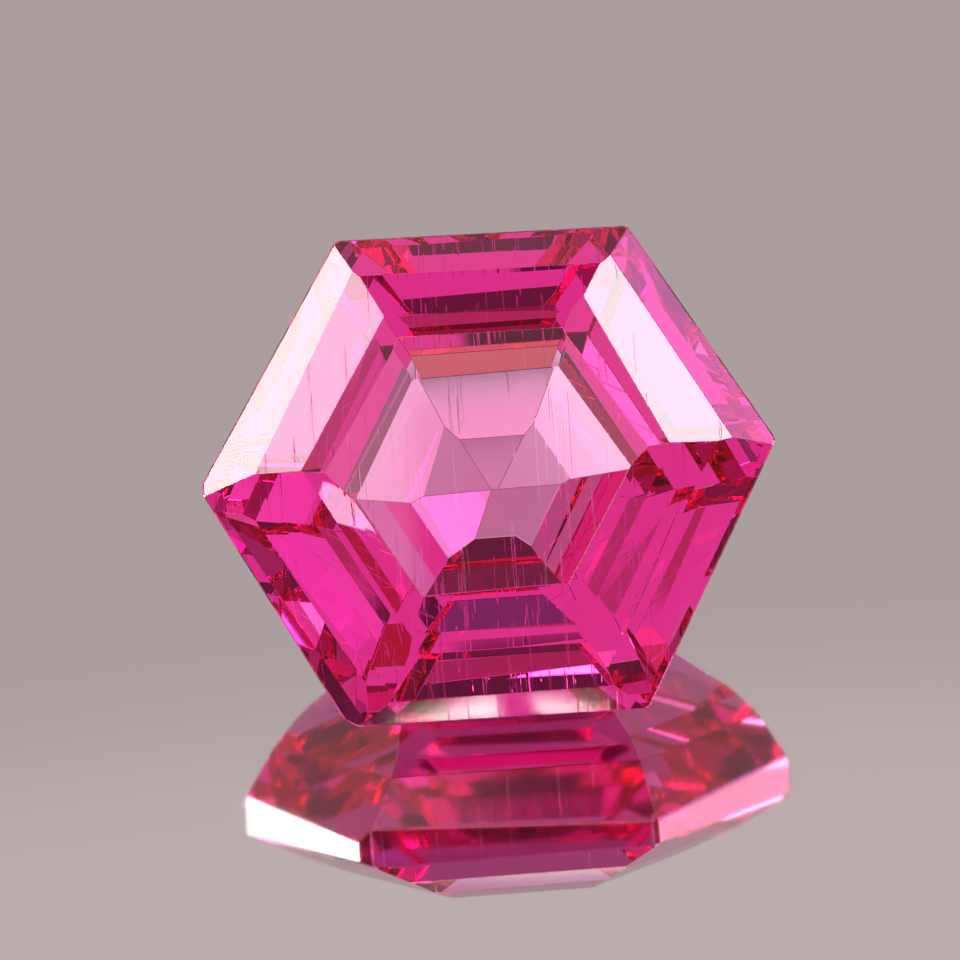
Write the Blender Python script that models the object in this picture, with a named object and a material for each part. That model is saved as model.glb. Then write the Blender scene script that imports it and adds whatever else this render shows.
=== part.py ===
"""A hexagonal step-cut pink sapphire, resting on a pavilion facet with its table to the front.

The stone is cut the way a faceting machine cuts it: a round blank loses one flat slice for
each facet, side by side and tier by tier. Radii are measured out from the stone's axis.
Cutting is done in millimetres, with the axis upright and the girdle's upper edge at height 0.
"""

import math

import bmesh
import bpy
from mathutils import Matrix, Vector

NAME = "sapphire"
METRES_PER_MM = 0.001
UP = Vector((0.0, 0.0, 1.0))

# The rough blank, in millimetres
BLANK_RADIUS = 6.0
BLANK_SIDES = 12
BLANK_MARGIN = 1.0
MERGE_DISTANCE = 1e-5

# Overall sizes, in millimetres
CROWN_HEIGHT = 1.00
GIRDLE_THICKNESS = 0.53

# Slopes of each side's three upper crown tiers from the table down, in degrees.
# The fourth tier takes the slope that meets the girdle.
CROWN_SLOPES = {
    "top": (4.0, 19.5, 26.5),
    "upper_right": (5.0, 19.5, 26.5),
    "lower_right": (20.0, 23.0, 25.5),
    "bottom": (17.0, 20.0, 25.0),
    "lower_left": (19.5, 21.5, 26.3),
    "upper_left": (4.0, 19.5, 26.5),
}

# Slopes of each side's four pavilion tiers from the girdle down, in degrees.
# The stone rests on the third tier of the bottom side.
REST_SLOPE = 41.0
PAVILION_SLOPES = {
    "top": (64.5, 53.0, 41.0, 30.0),
    "upper_right": (64.5, 53.0, 41.0, 33.0),
    "lower_right": (64.5, 53.0, 41.0, 36.0),
    "bottom": (64.5, 53.0, REST_SLOPE, 36.0),
    "lower_left": (64.5, 53.0, 41.0, 37.5),
    "upper_left": (64.5, 53.0, 41.0, 33.0),
}

# Radius where each of those tiers ends, in millimetres
PAVILION_RADII = {
    "top": (3.54, 3.24, 2.00, 0.72),
    "upper_right": (3.54, 3.18, 2.00, 1.05),
    "lower_right": (3.54, 3.26, 2.00, 1.00),
    "bottom": (3.54, 3.35, 1.30, 0.90),
    "lower_left": (3.54, 3.00, 2.00, 1.31),
    "upper_left": (3.54, 3.18, 2.00, 1.04),
}

# Culet: how far it lies from the axis towards the bottom side, how deep it is, and how far each
# of its facets is turned from square to its side, in degrees.
# Its top and bottom facets meet in a short keel instead of a point. The others close its ends.
CULET_OFFSET = 0.13
CULET_DEPTH = 4.00
CULET_TURNS = {
    "top": 0.0,
    "upper_right": 0.0,
    "lower_right": 0.0,
    "bottom": 0.0,
    "lower_left": 0.0,
    "upper_left": -5.0,
}
KEEL_HALF_LENGTH = 0.05

# Each side's direction in degrees seen from the table, and the radius of its girdle flat
SIDES = {
    "top": (90.0, 3.98),
    "upper_right": (30.0, 4.11),
    "lower_right": (330.0, 3.81),
    "bottom": (270.0, 3.78),
    "lower_left": (210.0, 4.04),
    "upper_left": (150.0, 4.06),
}
GIRDLE_TURNS = {
    "top": -1.1,
    "upper_right": 0.8,
    "lower_right": 0.7,
    "bottom": -0.6,
    "lower_left": -1.9,
    "upper_left": -2.9,
}

# Radius of each side's crown edges from the table down, in millimetres
CROWN_RADII = {
    "top": (1.73, 2.38, 2.70, 3.39),
    "upper_right": (1.94, 2.33, 2.75, 3.58),
    "lower_right": (1.83, 1.98, 2.31, 2.95),
    "bottom": (1.72, 2.34, 2.65, 3.38),
    "lower_left": (1.95, 2.08, 2.42, 3.18),
    "upper_left": (1.83, 2.39, 2.75, 3.46),
}

# How far each of those edges is turned from square to its side, in degrees
CROWN_TURNS = {
    "top": (1.0, -0.7, -2.7, -1.1),
    "upper_right": (2.1, 1.9, -3.9, -0.3),
    "lower_right": (-2.0, 0.0, 0.0, 0.4),
    "bottom": (1.1, -1.2, 0.1, 0.2),
    "lower_left": (1.4, 0.0, -1.0, -1.5),
    "upper_left": (0.5, -3.3, -2.4, 0.1),
}

# Blunted girdle corners: direction in degrees and how deep the tip is worn off
CORNERS = ((0.0, 0.02), (60.0, 0.02), (120.0, 0.02), (180.0, 0.06), (240.0, 0.07), (300.0, 0.03))

# Colour and finish of the plain solid
BODY_COLOUR = (0.80, 0.03, 0.30, 1.0)
ROUGHNESS = 0.03
REFRACTIVE_INDEX = 1.77
SEE_THROUGH = 0.9


def clear_scene():
    """Remove every object that is in the scene."""
    for thing in list(bpy.data.objects):
        bpy.data.objects.remove(thing, do_unlink=True)


def plan_vector(direction):
    """The level unit vector that points out from the axis in the given direction."""
    angle = math.radians(direction)
    return Vector((math.cos(angle), math.sin(angle), 0.0))


def make_blank(depth):
    """A rough cylinder that holds the whole stone, its axis on Z."""
    stone = bmesh.new()
    height = CROWN_HEIGHT + depth + 2 * BLANK_MARGIN
    middle = CROWN_HEIGHT + BLANK_MARGIN - height / 2
    bmesh.ops.create_cone(
        stone, cap_ends=True, segments=BLANK_SIDES, radius1=BLANK_RADIUS, radius2=BLANK_RADIUS,
        depth=height, matrix=Matrix.Translation(UP * middle),
    )
    return stone


def cut_plane(stone, point, normal):
    """Slice off everything beyond the plane, and close the cut with one flat facet."""
    geometry = stone.verts[:] + stone.edges[:] + stone.faces[:]
    cut = bmesh.ops.bisect_plane(
        stone, geom=geometry, dist=MERGE_DISTANCE, plane_co=point, plane_no=normal, clear_outer=True,
    )
    rim = [item for item in cut["geom_cut"] if isinstance(item, bmesh.types.BMEdge)]
    if rim:
        bmesh.ops.contextual_create(stone, geom=rim)


def cut_upright(stone, direction, radius):
    """Cut one flat that runs along the axis, such as a side of the girdle."""
    outward = plan_vector(direction)
    cut_plane(stone, outward * radius, outward)


def cut_girdle(stone):
    """Cut the six flats of the outline and blunt its corners."""
    for side, (direction, radius) in SIDES.items():
        cut_upright(stone, direction + GIRDLE_TURNS[side], radius)
    for direction, wear in CORNERS:
        outward = plan_vector(direction)
        tip = max(vertex.co.dot(outward) for vertex in stone.verts)
        cut_upright(stone, direction, tip - wear)


def crown_edges(side):
    """One side's crown edges from the table down: radius, height and turn of each."""
    radii = CROWN_RADII[side]
    heights = [CROWN_HEIGHT]
    for slope, inner, outer in zip(CROWN_SLOPES[side], radii, radii[1:]):
        heights.append(heights[-1] - (outer - inner) * math.tan(math.radians(slope)))
    edges = list(zip(radii, heights, CROWN_TURNS[side]))
    edges.append((SIDES[side][1], 0.0, GIRDLE_TURNS[side]))
    return edges


def cut_crown_side(stone, side):
    """Cut one side's four crown facets, each hung on the line of the edge above it."""
    direction = SIDES[side][0]
    edges = crown_edges(side)
    radius, height, turn = edges[0]
    upper = plan_vector(direction + turn) * radius + UP * height
    along = plan_vector(direction + turn + 90.0)
    for radius, height, turn in edges[1:]:
        lower = plan_vector(direction + turn) * radius + UP * height
        normal = (lower - upper).cross(along).normalized()
        cut_plane(stone, upper, normal)
        along = plan_vector(direction + turn + 90.0)
        along.z = -normal.dot(along) / normal.z
        upper = lower


def cut_crown(stone):
    """Cut the table, then four tiers of six facets below it."""
    cut_plane(stone, UP * CROWN_HEIGHT, UP)
    for side in SIDES:
        cut_crown_side(stone, side)


def pavilion_steps(side):
    """The radius and height where each of a side's tiers ends, from the girdle's lower edge down.

    The first tier's depth is the same on all sides, whatever the radius of the girdle flat.
    """
    start = sum(radius for _, radius in SIDES.values()) / len(SIDES)
    height = -GIRDLE_THICKNESS
    steps = [(SIDES[side][1], height)]
    for slope, end in zip(PAVILION_SLOPES[side], PAVILION_RADII[side]):
        height -= (start - end) * math.tan(math.radians(slope))
        start = end
        steps.append((end, height))
    return steps


def cut_pavilion_facet(stone, direction, outer, inner):
    """Cut one facet through two steps of the pavilion, each a radius and a height."""
    lean = math.atan2(outer[1] - inner[1], outer[0] - inner[0])
    outward = plan_vector(direction)
    normal = outward * math.sin(lean) - UP * math.cos(lean)
    cut_plane(stone, outward * inner[0] + UP * inner[1], normal)


def cut_culet_facet(stone, side, outer):
    """Cut one side's culet facet, from the step where its last tier ends in to the keel."""
    direction = SIDES[side][0] + CULET_TURNS[side]
    outward = plan_vector(direction)
    keel_end = Vector((math.copysign(KEEL_HALF_LENGTH, outward.x), -CULET_OFFSET, 0.0))
    cut_pavilion_facet(stone, direction, outer, (outward.dot(keel_end), -CULET_DEPTH))


def cut_pavilion(stone):
    """Cut four tiers of six facets below the girdle, and six flatter ones at the culet."""
    for side, (direction, _) in SIDES.items():
        steps = pavilion_steps(side)
        for outer, inner in zip(steps, steps[1:]):
            cut_pavilion_facet(stone, direction, outer, inner)
        cut_culet_facet(stone, side, steps[-1])


def lay_on_rest_facet(stone):
    """Turn the resting facet down, and put the box's bottom centre at the origin, in metres."""
    turn = Matrix.Rotation(math.radians(REST_SLOPE), 3, "X")
    bmesh.ops.rotate(stone, verts=stone.verts, cent=(0.0, 0.0, 0.0), matrix=turn)
    low = [min(vertex.co[axis] for vertex in stone.verts) for axis in range(3)]
    high = [max(vertex.co[axis] for vertex in stone.verts) for axis in range(3)]
    centre = Vector(((low[0] + high[0]) / 2, (low[1] + high[1]) / 2, low[2]))
    bmesh.ops.translate(stone, verts=stone.verts, vec=-centre)
    bmesh.ops.scale(stone, verts=stone.verts, vec=(METRES_PER_MM,) * 3)


def stone_material():
    """A see-through pink finish for the plain solid."""
    material = bpy.data.materials.new(NAME)
    material.use_nodes = True
    material.diffuse_color = BODY_COLOUR
    shader = material.node_tree.nodes["Principled BSDF"]
    shader.inputs["Base Color"].default_value = BODY_COLOUR
    shader.inputs["Roughness"].default_value = ROUGHNESS
    shader.inputs["Metallic"].default_value = 0.0
    shader.inputs["IOR"].default_value = REFRACTIVE_INDEX
    shader.inputs["Transmission Weight"].default_value = SEE_THROUGH
    return material


def build_stone():
    """Cut the whole stone and add it to the scene as one object."""
    stone = make_blank(CULET_DEPTH)
    cut_girdle(stone)
    cut_crown(stone)
    cut_pavilion(stone)
    lay_on_rest_facet(stone)
    bmesh.ops.recalc_face_normals(stone, faces=stone.faces)
    mesh = bpy.data.meshes.new(NAME)
    stone.to_mesh(mesh)
    stone.free()
    mesh.materials.append(stone_material())
    thing = bpy.data.objects.new(NAME, mesh)
    bpy.context.scene.collection.objects.link(thing)
    return thing


def main():
    clear_scene()
    build_stone()


main()
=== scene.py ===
"""The faceted pink sapphire in its studio: worn crystal, pale mirror floor, lights and camera.

Lengths are written in millimetres and turned into metres by the mm() helper.
Directions are given as azimuth, anticlockwise from +X, and elevation, both in degrees.
"""

import math

import bmesh
import bpy
from mathutils import Matrix, Vector


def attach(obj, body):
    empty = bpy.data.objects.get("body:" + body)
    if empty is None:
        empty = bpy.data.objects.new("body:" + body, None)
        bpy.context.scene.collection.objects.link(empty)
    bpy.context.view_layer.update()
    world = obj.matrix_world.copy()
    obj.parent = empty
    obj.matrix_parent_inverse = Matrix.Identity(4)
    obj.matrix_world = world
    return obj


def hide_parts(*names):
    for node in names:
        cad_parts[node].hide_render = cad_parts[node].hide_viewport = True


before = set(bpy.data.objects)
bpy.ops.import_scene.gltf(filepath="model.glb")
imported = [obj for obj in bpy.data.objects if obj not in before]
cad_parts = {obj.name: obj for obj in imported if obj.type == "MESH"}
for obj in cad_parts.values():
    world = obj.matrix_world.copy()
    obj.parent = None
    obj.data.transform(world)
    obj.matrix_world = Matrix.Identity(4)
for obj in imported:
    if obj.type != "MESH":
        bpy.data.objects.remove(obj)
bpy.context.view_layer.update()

NODE = "sapphire"
METRES_PER_MM = 0.001

# Camera, fitted to the photograph: millimetres and degrees
CAMERA_TARGET = (0.005, -0.272, 3.560)
CAMERA_ELEVATION = 49.0
CAMERA_YAW = 1.21
CAMERA_ROLL = 5.02
CAMERA_DISTANCE = 123.8
LENS = 290.25
SENSOR = 36.0
SHIFT_X = -0.00998
SHIFT_Y = -0.0080
NEAR_CLIP = 1.0
FAR_CLIP = 5000.0

# Crystal: refractive index, and how strongly each metre absorbs red, green and blue
REFRACTIVE_INDEX = 1.77
ABSORB_PER_METRE = 310.0
ABSORB_COLOUR = (0.952, 0.0, 0.645, 1.0)

# Polishing scratches: how closely they lie across their run, along it and into the stone,
# their depth in millimetres, how strongly that shows, and how softly they begin and end.
# Each family has its turn about the three axes, and how much of the noise is left plain.
SCRATCHES_PER_METRE = (16000.0, 700.0, 300.0)
SCRATCH_DEPTH = 0.001
SCRATCH_STRENGTH = 0.3
SCRATCH_SOFTNESS = 0.06
STEEP_SCRATCHES = ((-41.0, 0.0, 12.0), 0.74)
SLANTING_SCRATCHES = ((-41.0, 0.0, -25.0), 0.76)

# Worn edges: how wide the flat is that wear has left on each kind of edge, in millimetres
GIRDLE_WEAR = 0.05
FACET_WEAR = 0.012

# In degrees: the elevation that the table faces, the least bend of an edge that wears, how far
# a girdle flat may lean from the stone's axis, and the bend below which two faces are one facet
TABLE_ELEVATION = 49.0
FLATTEST_WORN_EDGE = 3.0
GIRDLE_LEAN = 3.0
SAME_FACET_BEND = 0.05

# Points closer together than this are one point, in millimetres
MERGE_DISTANCE = 1e-6

# Floor: a pale mirror a little below the plane that the stone rests on, in millimetres.
# It is hazy under the stone and clearer in front of it.
MIRROR_DEPTH = 0.832
FLOOR_SIZE = 600.0
FLOOR_COLOUR = (0.93, 0.92, 0.92, 1.0)
HAZE_STARTS = -4.65
HAZE_FULL = -4.5
HAZE_ROUGHNESS = 0.055
CLEAR_ROUGHNESS = 0.027

# Surroundings that light the stone: the grey room, then panels and flags laid over it one after
# another. Many are tinted, and small enough that only a few facets take their light from them.
# Each has its range of azimuth, its range of elevation, its softness and its light.
ROOM_LIGHT = (0.43, 0.37, 0.37)
PANELS = {
    "front sill": (195, 336, -10, 23, 2.0, (0.12, 0.08, 0.10)),
    "front fill": (212, 324, 23, 80, 2.0, (0.95, 0.90, 0.95)),
    "left softbox": (149, 177, 20, 38, 3.0, (10.0, 9.6, 9.4)),
    "upper left softbox": (176, 186, 44.8, 52, 0.6, (7.0, 6.0, 6.6)),
    "left window": (147, 166, 47, 56, 2.0, (1.75, 2.90, 1.95)),
    "right softbox": (346, 361, 44, 54, 1.5, (10.0, 9.7, 10.0)),
    "right fill": (6, 24, 20, 36, 4.0, (4.5, 1.6, 3.8)),
    "low right lamp": (17, 24, 24, 34, 1.0, (6.0, 2.5, 3.8)),
    "right window": (20, 37, 48, 58, 2.0, (1.30, 1.60, 1.30)),
    "zenith flag": (0, 359, 76, 92, 0.5, (0.10, 0.06, 0.10)),
    "ceiling": (84, 106, 79.98, 82, 0.04, (1.40, 1.75, 1.35)),
    "warm card": (60, 140, 84.3, 87.5, 0.4, (0.85, 0.50, 0.32)),
    "back ceiling": (70, 112, 69.92, 74, 0.08, (0.90, 1.25, 0.90)),
    "back right": (44, 72, 50, 66, 2.0, (0.76, 0.90, 0.72)),
    "back left": (115, 138, 50, 66, 2.0, (0.90, 1.25, 0.90)),
    "magenta card": (64, 78, 35, 41, 1.0, (1.25, 1.10, 1.25)),
    "low back card": (84, 126, 28, 38, 1.0, (0.65, 0.75, 0.60)),
    "low back lamp": (58, 72, 22, 30, 1.0, (1.40, 1.20, 3.50)),
    "back sill": (70, 112, 18, 27, 2.0, (0.80, 1.50, 0.95)),
    "low flag": (262, 275, 22, 37.5, 0.5, (0.10, 0.07, 0.10)),
    "warm strip": (263, 274, 41.2, 42.8, 0.3, (0.90, 2.50, 0.50)),
    "shaded strip": (263, 274, 42.9, 43.5, 0.2, (0.45, 0.35, 0.30)),
    "camera": (267.9, 272, 47.4, 49.6, 0.4, (0.12, 0.10, 0.12)),
    "camera top": (263, 272, 49.7, 51.6, 0.3, (0.55, 0.55, 0.35)),
    "hood": (263, 272, 53.4, 54.8, 0.4, (0.14, 0.12, 0.10)),
    "flag over camera": (263, 272, 57.1, 58.4, 0.3, (0.20, 0.30, 0.16)),
    "mirror flag": (267.7, 273, 59.0, 61.8, 0.3, (0.10, 0.08, 0.10)),
    "middle flag": (261, 272, 63.3, 68.0, 0.5, (0.14, 0.12, 0.12)),
    "high flag": (260, 268, 72.0, 73.4, 0.4, (0.25, 0.45, 0.42)),
    "red card": (274, 279, 50.5, 53.5, 0.5, (0.50, 0.20, 0.14)),
    "low red card": (290, 296, 41.5, 45, 0.5, (0.50, 0.10, 0.10)),
    "upper red card": (296, 304, 58, 62, 0.5, (0.78, 0.45, 0.32)),
    "left card": (257, 261.8, 49.8, 52.2, 0.5, (0.58, 0.65, 0.45)),
    "pale card": (245.1, 248, 52.8, 53.8, 0.3, (0.56, 2.00, 0.72)),
    "low pale card": (288, 294, 33.5, 36.5, 0.5, (0.60, 2.50, 0.75)),
    "high left lamp": (212, 220, 60, 64, 1.0, (1.30, 2.00, 1.50)),
    "left lamp": (241, 246, 31, 34.5, 0.5, (0.85, 3.80, 1.35)),
    "low left lamp": (247, 253, 22, 26, 0.5, (1.45, 2.30, 1.50)),
    "right card": (329, 338, 15.5, 26, 1.0, (1.05, 2.50, 1.30)),
    "high lamp": (277, 283, 65.5, 69, 0.5, (1.20, 1.20, 1.35)),
    "middle lamp": (289, 295, 57.5, 60.5, 0.5, (1.30, 0.85, 0.85)),
    "inner lamp": (258.5, 262, 43.8, 46.2, 0.5, (1.18, 1.10, 1.45)),
    "outer lamp": (294, 298.3, 54.4, 56.8, 0.5, (1.12, 1.30, 1.35)),
    "right lamp": (313.5, 321, 53, 57.5, 0.5, (1.45, 5.00, 2.60)),
}

# How often light may bounce or pass through a facet
BOUNCES = 24

# Plain pale backdrop that stands in for those surroundings behind the stone and in the floor: its
# light, its paler light higher up, which the nearer floor mirrors, and the elevations between
# which it turns from one to the other
BACKDROP_LIGHT = (0.430, 0.370, 0.370)
BACKDROP_NEAR_LIGHT = (0.530, 0.455, 0.455)
BACKDROP_TURNS = (50.2, 51.3)

# The world's ray depth is below this where light has met only one surface
ONE_SURFACE_DEPTH = 2.5

# Bright slots: small shapes that only one facet mirrors.
# Each has its light, then its corners as azimuth and elevation.
SLOT_SOFTNESS = 0.02
SLOTS = {
    "left wedge": ((10, 14, 12), (268.24, 36.42), (269.30, 36.27), (269.43, 36.27), (269.45, 36.46)),
    "right wedge": ((10, 14, 12), (269.70, 36.28), (270.47, 36.43), (270.42, 36.48), (269.84, 36.46)),
    "cream card": ((9, 5, 8), (229.95, 17.76), (229.95, 17.47), (230.40, 17.50), (230.40, 17.76)),
    "cream edge": ((9, 5, 8), (232.65, 20.95), (232.65, 20.69), (233.10, 20.69), (233.10, 20.95)),
}


def mm(*values):
    """A length or a position in millimetres, turned into metres."""
    if len(values) == 1:
        return values[0] * METRES_PER_MM
    return Vector(values) * METRES_PER_MM


def new_material(name):
    """An empty node material with its tree and its output."""
    material = bpy.data.materials.new(name)
    material.use_nodes = True
    tree = material.node_tree
    tree.nodes.clear()
    output = tree.nodes.new("ShaderNodeOutputMaterial")
    return material, tree, output


def math_node(tree, operation, first, second=0.0):
    """A maths node that works on two numbers or sockets."""
    node = tree.nodes.new("ShaderNodeMath")
    node.operation = operation
    for socket, value in zip(node.inputs, (first, second)):
        if isinstance(value, bpy.types.NodeSocket):
            tree.links.new(value, socket)
        else:
            socket.default_value = value
    return node.outputs[0]


def scratch_mask(tree, place, turn, plain):
    """Fine, sparse, nearly straight polishing scratches that run one way across the facets."""
    mapping = tree.nodes.new("ShaderNodeMapping")
    tree.links.new(place, mapping.inputs["Vector"])
    mapping.inputs["Rotation"].default_value = [math.radians(angle) for angle in turn]
    mapping.inputs["Scale"].default_value = SCRATCHES_PER_METRE
    noise = tree.nodes.new("ShaderNodeTexNoise")
    tree.links.new(mapping.outputs["Vector"], noise.inputs["Vector"])
    noise.inputs["Scale"].default_value = 1.0
    noise.inputs["Detail"].default_value = 0.0
    line = tree.nodes.new("ShaderNodeMapRange")
    line.interpolation_type = "SMOOTHSTEP"
    tree.links.new(noise.outputs["Fac"], line.inputs["Value"])
    line.inputs["From Min"].default_value = plain
    line.inputs["From Max"].default_value = plain + SCRATCH_SOFTNESS
    return line.outputs["Result"]


def crystal_material():
    """See-through pink crystal that absorbs green most and red least, lightly scratched."""
    material, tree, output = new_material("pink sapphire crystal")
    shader = tree.nodes.new("ShaderNodeBsdfPrincipled")
    shader.inputs["Base Color"].default_value = (1.0, 1.0, 1.0, 1.0)
    shader.inputs["Roughness"].default_value = 0.0
    shader.inputs["IOR"].default_value = REFRACTIVE_INDEX
    shader.inputs["Transmission Weight"].default_value = 1.0
    place = tree.nodes.new("ShaderNodeTexCoord").outputs["Object"]
    steep = scratch_mask(tree, place, *STEEP_SCRATCHES)
    slanting = scratch_mask(tree, place, *SLANTING_SCRATCHES)
    scratches = math_node(tree, "MAXIMUM", steep, slanting)
    bump = tree.nodes.new("ShaderNodeBump")
    bump.invert = True
    bump.inputs["Strength"].default_value = SCRATCH_STRENGTH
    bump.inputs["Distance"].default_value = mm(SCRATCH_DEPTH)
    tree.links.new(scratches, bump.inputs["Height"])
    tree.links.new(bump.outputs["Normal"], shader.inputs["Normal"])
    absorb = tree.nodes.new("ShaderNodeVolumeAbsorption")
    absorb.inputs["Color"].default_value = ABSORB_COLOUR
    absorb.inputs["Density"].default_value = ABSORB_PER_METRE
    tree.links.new(shader.outputs["BSDF"], output.inputs["Surface"])
    tree.links.new(absorb.outputs["Volume"], output.inputs["Volume"])
    return material


def facet_axis():
    """The stone's own axis: the direction that its table faces."""
    elevation = math.radians(TABLE_ELEVATION)
    return Vector((0.0, -math.cos(elevation), math.sin(elevation)))


def worn_edges(shape):
    """For each edge to be worn: a point on it, the wear's outward direction and its depth."""
    axis = facet_axis()
    cuts = []
    for edge in shape.edges:
        first, second = (face.normal for face in edge.link_faces)
        bend = first.angle(second)
        if bend < math.radians(FLATTEST_WORN_EDGE):
            continue
        lean = min(abs(90.0 - math.degrees(normal.angle(axis))) for normal in (first, second))
        width = GIRDLE_WEAR if lean < GIRDLE_LEAN else FACET_WEAR
        depth = width / 2 * math.tan(bend / 2)
        cuts.append((edge.verts[0].co.copy(), (first + second).normalized(), depth))
    return cuts


def wear_off(shape, point, outward, depth):
    """Slice a thin sliver off the shape along one edge, and close the cut with a flat face."""
    geometry = shape.verts[:] + shape.edges[:] + shape.faces[:]
    cut = bmesh.ops.bisect_plane(
        shape, geom=geometry, dist=MERGE_DISTANCE, plane_co=point - outward * depth,
        plane_no=outward, clear_outer=True,
    )
    rim = [item for item in cut["geom_cut"] if isinstance(item, bmesh.types.BMEdge)]
    if len(rim) > 2:
        bmesh.ops.contextual_create(shape, geom=rim)


def make_worn_stone():
    """The stone with its sharp edges worn to narrow flats, in place of the bare solid."""
    shape = bmesh.new()
    shape.from_mesh(bpy.data.objects[NODE].data)
    bmesh.ops.remove_doubles(shape, verts=shape.verts, dist=mm(MERGE_DISTANCE))
    bmesh.ops.scale(shape, verts=shape.verts, vec=(1 / METRES_PER_MM,) * 3)
    bmesh.ops.dissolve_limit(
        shape, angle_limit=math.radians(SAME_FACET_BEND), verts=shape.verts, edges=shape.edges,
    )
    bmesh.ops.recalc_face_normals(shape, faces=shape.faces)
    for point, outward, depth in worn_edges(shape):
        wear_off(shape, point, outward, depth)
    bmesh.ops.recalc_face_normals(shape, faces=shape.faces)
    bmesh.ops.scale(shape, verts=shape.verts, vec=(METRES_PER_MM,) * 3)
    mesh = bpy.data.meshes.new("worn_sapphire")
    shape.to_mesh(mesh)
    shape.free()
    mesh.shade_flat()
    mesh.materials.append(crystal_material())
    stone = bpy.data.objects.new("worn_sapphire", mesh)
    bpy.context.scene.collection.objects.link(stone)
    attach(stone, "root")
    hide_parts(NODE)
    return stone


def floor_material():
    """A pale mirror that is slightly hazy under the stone and clearer in front of it."""
    material, tree, output = new_material("pale mirror floor")
    shader = tree.nodes.new("ShaderNodeBsdfPrincipled")
    shader.inputs["Base Color"].default_value = FLOOR_COLOUR
    shader.inputs["Metallic"].default_value = 1.0
    place = tree.nodes.new("ShaderNodeTexCoord")
    split = tree.nodes.new("ShaderNodeSeparateXYZ")
    tree.links.new(place.outputs["Object"], split.inputs["Vector"])
    haze = tree.nodes.new("ShaderNodeMapRange")
    tree.links.new(split.outputs["Y"], haze.inputs["Value"])
    haze.inputs["From Min"].default_value = mm(HAZE_STARTS)
    haze.inputs["From Max"].default_value = mm(HAZE_FULL)
    haze.inputs["To Min"].default_value = CLEAR_ROUGHNESS
    haze.inputs["To Max"].default_value = HAZE_ROUGHNESS
    tree.links.new(haze.outputs["Result"], shader.inputs["Roughness"])
    tree.links.new(shader.outputs["BSDF"], output.inputs["Surface"])
    return material


def make_floor():
    """The level mirror that the stone stands over."""
    mesh = bpy.data.meshes.new("floor")
    half = mm(FLOOR_SIZE) / 2
    corners = [(-half, -half, 0.0), (half, -half, 0.0), (half, half, 0.0), (-half, half, 0.0)]
    mesh.from_pydata(corners, [], [(0, 1, 2, 3)])
    floor = bpy.data.objects.new("floor", mesh)
    floor.location.z = -mm(MIRROR_DEPTH)
    mesh.materials.append(floor_material())
    bpy.context.scene.collection.objects.link(floor)


def soft_band(tree, distance, half, softness):
    """One inside a band, zero outside it, with a soft step between."""
    step = tree.nodes.new("ShaderNodeMapRange")
    step.interpolation_type = "SMOOTHSTEP"
    tree.links.new(math_node(tree, "ABSOLUTE", distance), step.inputs["Value"])
    step.inputs["From Min"].default_value = half - softness / 2
    step.inputs["From Max"].default_value = half + softness / 2
    step.inputs["To Min"].default_value = 1.0
    step.inputs["To Max"].default_value = 0.0
    return step.outputs["Result"]


def sky_angles(tree):
    """The azimuth and the elevation of each direction of the surroundings, in degrees."""
    place = tree.nodes.new("ShaderNodeTexCoord")
    split = tree.nodes.new("ShaderNodeSeparateXYZ")
    tree.links.new(place.outputs["Generated"], split.inputs["Vector"])
    turn = math_node(tree, "ARCTAN2", split.outputs["Y"], split.outputs["X"])
    azimuth = math_node(tree, "FLOORED_MODULO", math_node(tree, "DEGREES", turn), 360.0)
    elevation = math_node(tree, "DEGREES", math_node(tree, "ARCSINE", split.outputs["Z"]))
    return azimuth, elevation


def panel_mask(tree, azimuth, elevation, panel):
    """One inside a panel of the surroundings, zero outside it."""
    left, right, low, high, softness, _ = panel
    turn = tree.nodes.new("ShaderNodeMath")
    turn.operation = "WRAP"
    tree.links.new(math_node(tree, "SUBTRACT", azimuth, (left + right) / 2), turn.inputs[0])
    turn.inputs[1].default_value = 180.0
    turn.inputs[2].default_value = -180.0
    across = soft_band(tree, turn.outputs[0], (right - left) / 2, softness)
    rise = math_node(tree, "SUBTRACT", elevation, (low + high) / 2)
    return math_node(tree, "MULTIPLY", across, soft_band(tree, rise, (high - low) / 2, softness))


def slot_mask(tree, azimuth, elevation, corners):
    """One inside a small convex shape of the surroundings, zero outside it."""
    middle = [sum(corner[axis] for corner in corners) / len(corners) for axis in range(2)]
    mask = 1.0
    for (start_side, start_rise), (end_side, end_rise) in zip(corners, corners[1:] + corners[:1]):
        inward = (start_rise - end_rise, end_side - start_side)
        length = math.hypot(*inward)
        across = (middle[0] - start_side) * inward[0] + (middle[1] - start_rise) * inward[1]
        scale = math.copysign(1.0 / (length * SLOT_SOFTNESS), across)
        side = math_node(tree, "MULTIPLY", math_node(tree, "SUBTRACT", azimuth, start_side),
                         inward[0] * scale)
        rise = math_node(tree, "MULTIPLY", math_node(tree, "SUBTRACT", elevation, start_rise),
                         inward[1] * scale)
        inside = tree.nodes.new("ShaderNodeClamp")
        tree.links.new(math_node(tree, "ADD", side, rise), inside.inputs["Value"])
        mask = math_node(tree, "MULTIPLY", inside.outputs["Result"], mask)
    return mask


def lay_over(tree, colour, mask, light):
    """Lay a light over a colour where its mask is one. Each is three numbers or a socket."""
    mix = tree.nodes.new("ShaderNodeMix")
    mix.data_type = "RGBA"
    tree.links.new(mask, mix.inputs["Factor"])
    for name, value in (("A", colour), ("B", light)):
        if isinstance(value, bpy.types.NodeSocket):
            tree.links.new(value, mix.inputs[name])
        else:
            mix.inputs[name].default_value = (*value, 1.0)
    return mix.outputs["Result"]


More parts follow.
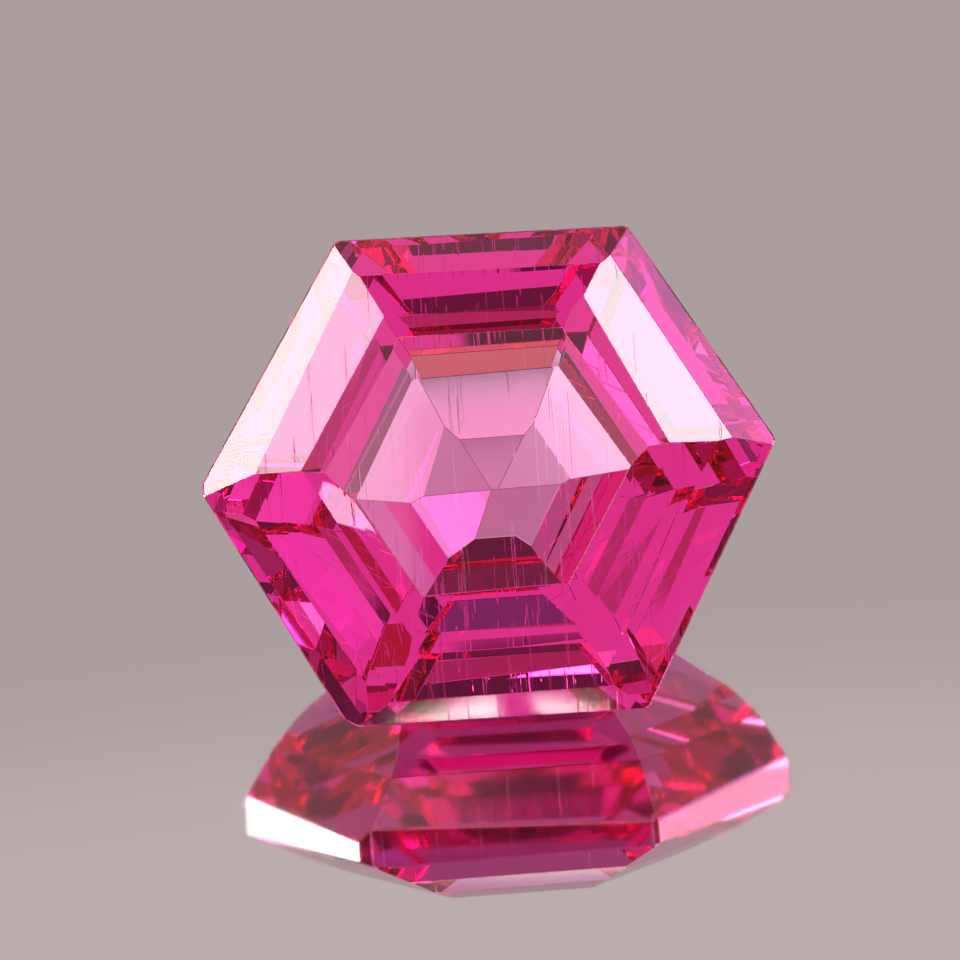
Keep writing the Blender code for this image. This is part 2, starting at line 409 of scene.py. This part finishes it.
def backdrop(tree, elevation):
    """The backdrop's light, and one where a look goes to it straight or by the floor alone.

    The stone is perfectly smooth, so light that it turns is singular. The floor's is not.
    """
    turn = tree.nodes.new("ShaderNodeMapRange")
    turn.interpolation_type = "SMOOTHSTEP"
    tree.links.new(elevation, turn.inputs["Value"])
    turn.inputs["From Min"].default_value = BACKDROP_TURNS[0]
    turn.inputs["From Max"].default_value = BACKDROP_TURNS[1]
    light = lay_over(tree, BACKDROP_LIGHT, turn.outputs["Result"], BACKDROP_NEAR_LIGHT)
    path = tree.nodes.new("ShaderNodeLightPath").outputs
    first = math_node(tree, "LESS_THAN", path["Ray Depth"], ONE_SURFACE_DEPTH)
    off_floor = math_node(tree, "SUBTRACT", 1.0, path["Is Singular Ray"])
    by_floor = math_node(tree, "MULTIPLY", first, off_floor)
    return light, math_node(tree, "MAXIMUM", path["Is Camera Ray"], by_floor)


def make_world():
    """The studio round the stone: a grey room with tinted panels, dark flags and bright slots."""
    world = bpy.data.worlds.new("studio")
    world.use_nodes = True
    tree = world.node_tree
    azimuth, elevation = sky_angles(tree)
    colour = ROOM_LIGHT
    for panel in PANELS.values():
        mask = panel_mask(tree, azimuth, elevation, panel)
        colour = lay_over(tree, colour, mask, panel[-1])
    for light, *corners in SLOTS.values():
        mask = slot_mask(tree, azimuth, elevation, corners)
        colour = lay_over(tree, colour, mask, light)
    pale, seen = backdrop(tree, elevation)
    colour = lay_over(tree, colour, seen, pale)
    tree.links.new(colour, tree.nodes["Background"].inputs["Color"])
    world.cycles.sampling_method = "NONE"
    bpy.context.scene.world = world


def make_camera():
    """The camera that looks down at the table, a little turned and rolled as the photograph is."""
    data = bpy.data.cameras.new("camera")
    data.sensor_width = SENSOR
    data.lens = LENS
    data.shift_x = SHIFT_X
    data.shift_y = SHIFT_Y
    data.clip_start = mm(NEAR_CLIP)
    data.clip_end = mm(FAR_CLIP)
    camera = bpy.data.objects.new("camera", data)
    bpy.context.scene.collection.objects.link(camera)
    elevation = math.radians(CAMERA_ELEVATION)
    turn = Matrix.Rotation(math.radians(CAMERA_YAW), 3, "Z")
    forward = turn @ Vector((0.0, math.cos(elevation), -math.sin(elevation)))
    right = turn @ Vector((1.0, 0.0, 0.0))
    up = right.cross(forward)
    roll = math.radians(CAMERA_ROLL)
    side = right * math.cos(roll) - up * math.sin(roll)
    top = right * math.sin(roll) + up * math.cos(roll)
    rotation = Matrix((side, top, -forward)).transposed().to_4x4()
    position = mm(*CAMERA_TARGET) - forward * mm(CAMERA_DISTANCE)
    camera.matrix_world = Matrix.Translation(position) @ rotation
    bpy.context.scene.camera = camera


def set_light_paths():
    """Enough bounces for light to find its way through the stone, and plain colours."""
    scene = bpy.context.scene
    scene.view_settings.view_transform = "Standard"
    scene.cycles.max_bounces = BOUNCES
    scene.cycles.glossy_bounces = BOUNCES
    scene.cycles.transmission_bounces = BOUNCES
    scene.cycles.caustics_reflective = True
    scene.cycles.caustics_refractive = True
    scene.cycles.blur_glossy = 0.0
    scene.cycles.sample_clamp_indirect = 0.0
    scene.cycles.use_denoising = True


def main():
    make_worn_stone()
    make_floor()
    make_world()
    make_camera()
    set_light_paths()


main()
